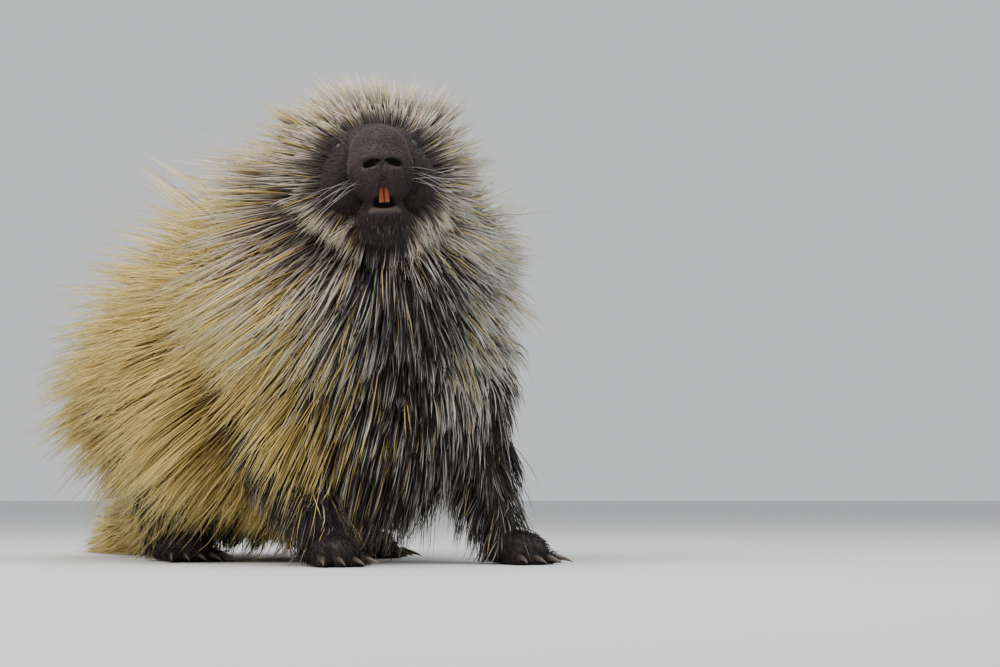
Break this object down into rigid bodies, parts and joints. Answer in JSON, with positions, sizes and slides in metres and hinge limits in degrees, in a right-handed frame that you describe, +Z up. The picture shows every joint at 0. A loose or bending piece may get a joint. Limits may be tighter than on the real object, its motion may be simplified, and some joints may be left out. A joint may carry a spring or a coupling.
{
  "type": "north american porcupine model",
  "caption": "Still life-size porcupine crouched on all fours, head raised and turned, long guard hair over the whole body.",
  "frame": {"origin": "on the floor under the middle of the whole animal, from claws to tail tip and side to side", "axes": "+Z up, the body faces -Y, the animal's left side is +X, the tail points to +Y"},
  "size_m": [0.3616, 0.7092, 0.4428],
  "materials": {
    "coat": "long coarse guard hair, dark at the root and cream to golden at the tips",
    "dark_fur": "blackish brown hair",
    "face": "short dark fur over skin, with pale hairs round the face",
    "ear": "thin dark skin with short fur",
    "eye": "wet and almost black",
    "tooth": "deep orange enamel",
    "claw": "dark horn, worn paler towards the tip"
  },
  "bodies": {
    "root": {"head": "face", "ear_left": "ear", "ear_right": "ear", "eye_left": "eye", "eye_right": "eye", "incisor_left": "tooth", "incisor_right": "tooth", "neck": "coat", "chest": "coat", "loin": "coat", "rump": "coat", "tail_base": "coat", "tail_tip": "coat", "foreleg_left": "dark_fur", "foreleg_right": "dark_fur", "hindleg_left": "dark_fur", "hindleg_right": "dark_fur", "forepaw_left": "dark_fur", "forepaw_right": "dark_fur", "hindpaw_left": "dark_fur", "hindpaw_right": "dark_fur", "claw_forepaw_left_1": "claw", "claw_forepaw_left_2": "claw", "claw_forepaw_left_3": "claw", "claw_forepaw_left_4": "claw", "claw_forepaw_right_1": "claw", "claw_forepaw_right_2": "claw", "claw_forepaw_right_3": "claw", "claw_forepaw_right_4": "claw", "claw_hindpaw_left_1": "claw", "claw_hindpaw_left_2": "claw", "claw_hindpaw_left_3": "claw", "claw_hindpaw_left_4": "claw", "claw_hindpaw_left_5": "claw", "claw_hindpaw_right_1": "claw", "claw_hindpaw_right_2": "claw", "claw_hindpaw_right_3": "claw", "claw_hindpaw_right_4": "claw", "claw_hindpaw_right_5": "claw"}
  },
  "joints": []
}
